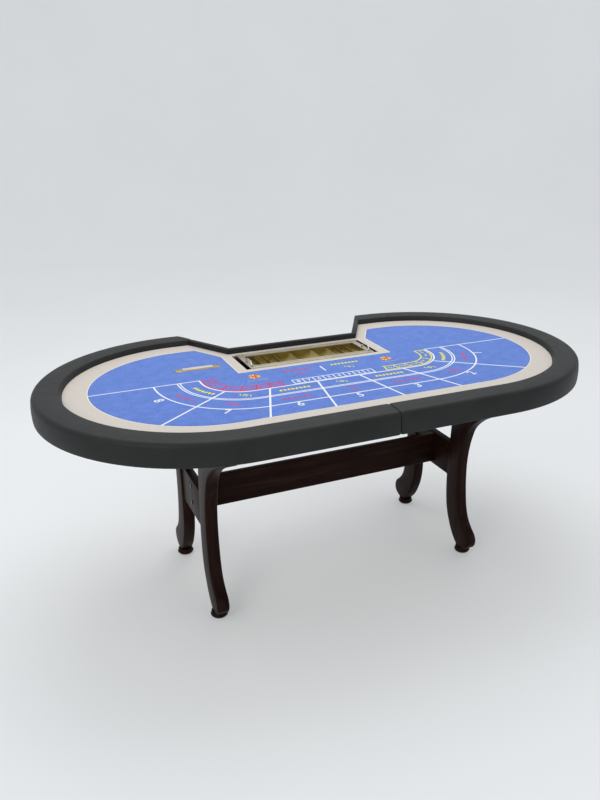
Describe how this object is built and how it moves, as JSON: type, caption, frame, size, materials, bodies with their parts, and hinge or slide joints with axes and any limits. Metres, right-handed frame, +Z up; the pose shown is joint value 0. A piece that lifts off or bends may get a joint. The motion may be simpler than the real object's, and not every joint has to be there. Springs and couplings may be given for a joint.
{
  "type": "gaming table",
  "caption": "Stadium-shaped gaming table with a padded armrest, printed cloth, dealer's bay, lift-out chip tray and a trestle base of scroll legs.",
  "frame": {"origin": "on the floor under the middle of the table's outer box", "axes": "+X along the table to the players' right, +Y from the players to the dealer, +Z up"},
  "size_m": [2.116, 1.188, 0.836],
  "materials": {
    "black_leather": "satin",
    "plywood": "matt",
    "band_laminate": "satin",
    "blue_cloth": "matt",
    "pale_inlay": "satin",
    "champagne_metal": "satin",
    "gold_metal": "satin",
    "chrome_wire": "polished",
    "zinc_steel": "brushed",
    "black_paint": "matt",
    "brass_plate": "satin",
    "pale_acrylic": "gloss",
    "dark_walnut": "satin",
    "bronze_caps": "satin",
    "grey_glide": "matt"
  },
  "bodies": {
    "table": {"armrest_bolts": "zinc_steel", "armrest_core_left": "plywood", "armrest_core_right": "plywood", "armrest_pad_left": "black_leather", "armrest_pad_right": "black_leather", "band_panel": "band_laminate", "barrel_nuts": "zinc_steel", "batten_front": "plywood", "batten_middle": "plywood", "bay_rail_back": "black_leather", "bay_rail_left": "black_leather", "bay_rail_right": "black_leather", "cloth": "blue_cloth", "cloth_trim": "pale_inlay", "cross_board_left": "dark_walnut", "cross_board_right": "dark_walnut", "cross_bolts": "bronze_caps", "deck_board": "plywood", "drop_chute": "black_paint", "foot_back_left": "dark_walnut", "foot_back_right": "dark_walnut", "foot_front_left": "dark_walnut", "foot_front_right": "dark_walnut", "foot_studs": "zinc_steel", "glides": "grey_glide", "leg_back_left": "dark_walnut", "leg_back_right": "dark_walnut", "leg_front_left": "dark_walnut", "leg_front_right": "dark_walnut", "leg_screws": "zinc_steel", "rail_bolts": "zinc_steel", "slot_plate": "brass_plate", "slot_screws": "brass_plate", "stretcher_board": "dark_walnut", "top_rail_left": "dark_walnut", "top_rail_right": "dark_walnut", "tray_ledge_back": "zinc_steel", "tray_ledge_front": "zinc_steel", "tray_well": "black_paint"},
    "tray": {"tray_rim": "champagne_metal", "tray_troughs": "gold_metal", "tray_lugs": "champagne_metal"},
    "bail_left": {"tray_bail_left": "chrome_wire"},
    "bail_right": {"tray_bail_right": "chrome_wire"},
    "paddle": {"drop_paddle": "pale_acrylic"}
  },
  "joints": [
    {"name": "tray_lift", "type": "slide", "parent": "table", "child": "tray", "axis": [0, 0, 1], "range_m": [0, 0.12]},
    {"name": "bail_left_swing", "type": "hinge", "parent": "tray", "child": "bail_left", "pos_m": [-0.252, 0.1375, 0.8205], "axis": [0, -1, 0], "range_deg": [-80, 80]},
    {"name": "bail_right_swing", "type": "hinge", "parent": "tray", "child": "bail_right", "pos_m": [0.252, 0.1375, 0.8205], "axis": [0, -1, 0], "range_deg": [-80, 80]},
    {"name": "paddle_lift", "type": "slide", "parent": "table", "child": "paddle", "axis": [0, 0, 1], "range_m": [0, 0.09]}
  ]
}
